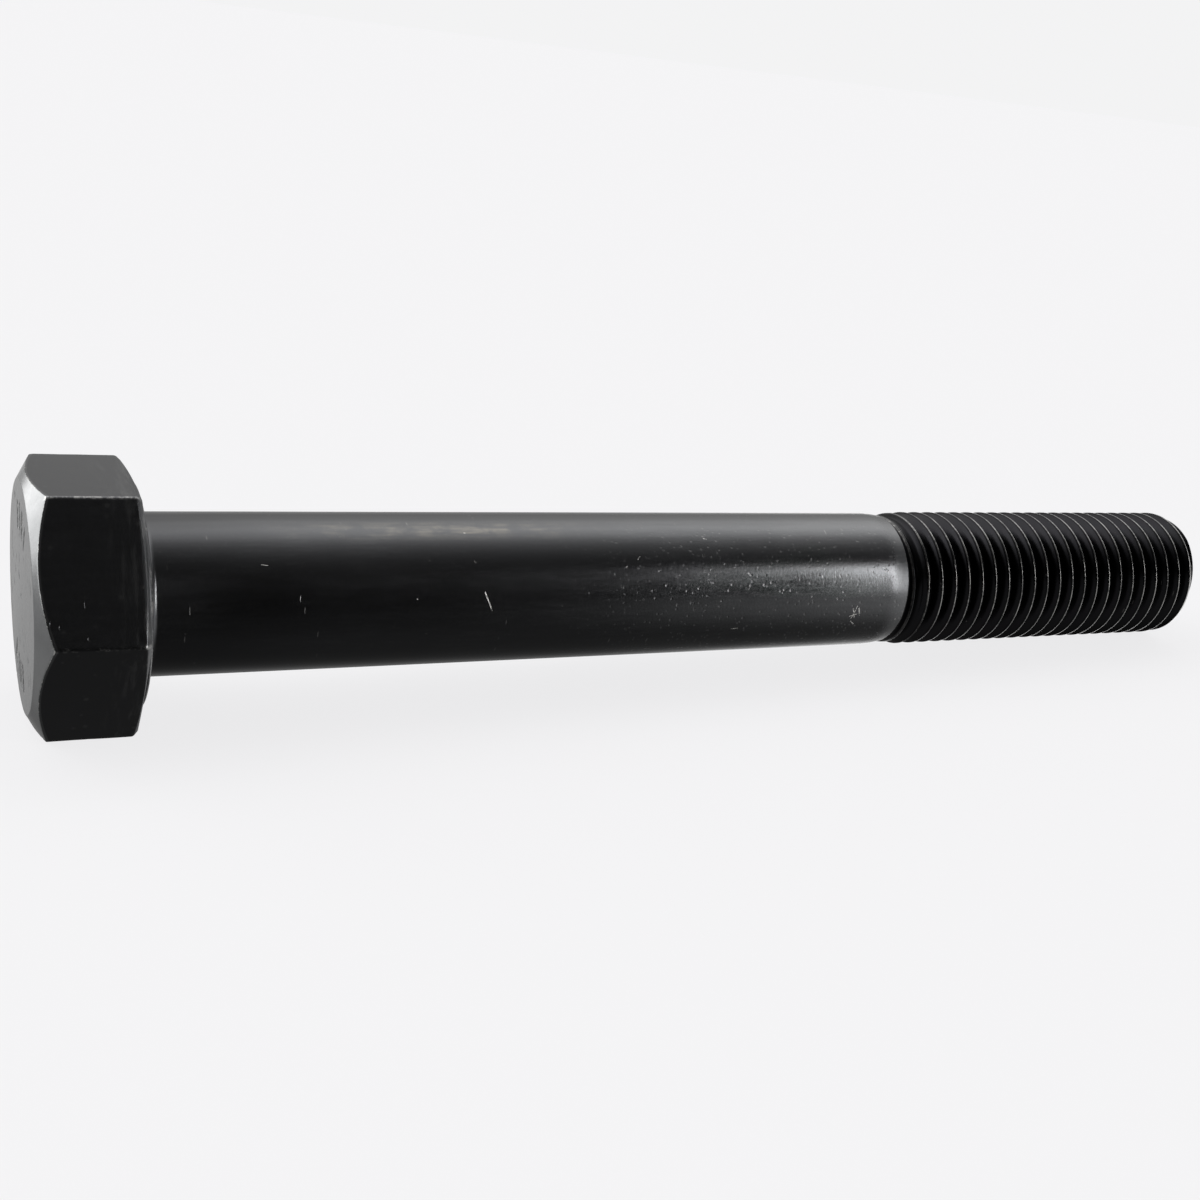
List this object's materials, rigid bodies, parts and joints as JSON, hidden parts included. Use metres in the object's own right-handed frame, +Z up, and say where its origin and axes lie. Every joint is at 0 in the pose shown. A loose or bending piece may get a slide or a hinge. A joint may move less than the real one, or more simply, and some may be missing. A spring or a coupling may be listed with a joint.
{
  "type": "hex bolt",
  "caption": "Partly threaded hex head bolt of M16 size, 130 mm under the head, in blackened steel, with a washer face under the head and a plain shank.",
  "frame": {"origin": "centre of the flat on the outer end of the head, on the bolt's axis", "axes": "+X along the shank from the head to the tip of the thread, +Z up and square to one pair of wrench flats, so two corners of the hexagon point along +Y and -Y; the bearing face under the head is at x = 9.8 mm"},
  "size_m": [0.1398, 0.0266, 0.0232],
  "materials": {
    "black_steel": "thin black oxide on forged and thread-rolled steel, half gloss, worn grey on the outer face of the head"
  },
  "bodies": {
    "root": {"hex_bolt": "black_steel"}
  },
  "joints": []
}
